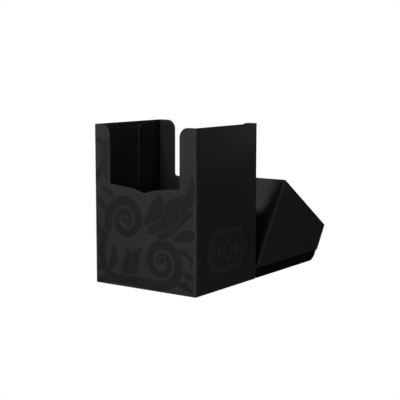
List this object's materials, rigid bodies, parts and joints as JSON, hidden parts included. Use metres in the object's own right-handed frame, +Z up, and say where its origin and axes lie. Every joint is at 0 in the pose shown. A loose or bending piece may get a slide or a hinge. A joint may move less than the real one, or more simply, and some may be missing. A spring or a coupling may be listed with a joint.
{
  "type": "deck box",
  "caption": "Upright open deck box for sleeved trading cards, finger notches front and back, with a slant-rimmed cap lid lifted off and resting behind it.",
  "frame": {"origin": "centre of the box's underside, on the surface it stands on", "axes": "+Z up, -Y out of the artwork face, +X to the right seen from the front; the lid rests on the +Y side"},
  "size_m": [0.0804, 0.162, 0.101],
  "materials": {
    "sheet": "fine-grained black polypropylene sheet, satin",
    "liner": "plain black inner sheet",
    "film": "tone-on-tone printed emblem film"
  },
  "bodies": {
    "box": {"outer_wrap": "sheet", "base_panel": "sheet", "floor_liner": "liner", "rear_liner": "liner", "front_liner": "liner", "emblem_left": "film", "emblem_right": "film"},
    "lid": {"lid_shell": "sheet", "lid_tongue_left": "liner", "lid_tongue_right": "liner"}
  },
  "joints": [
    {"name": "lid_lift", "type": "slide", "parent": "box", "child": "lid", "axis": [0, 0, 1], "range_m": [0, 0.12]}
  ]
}
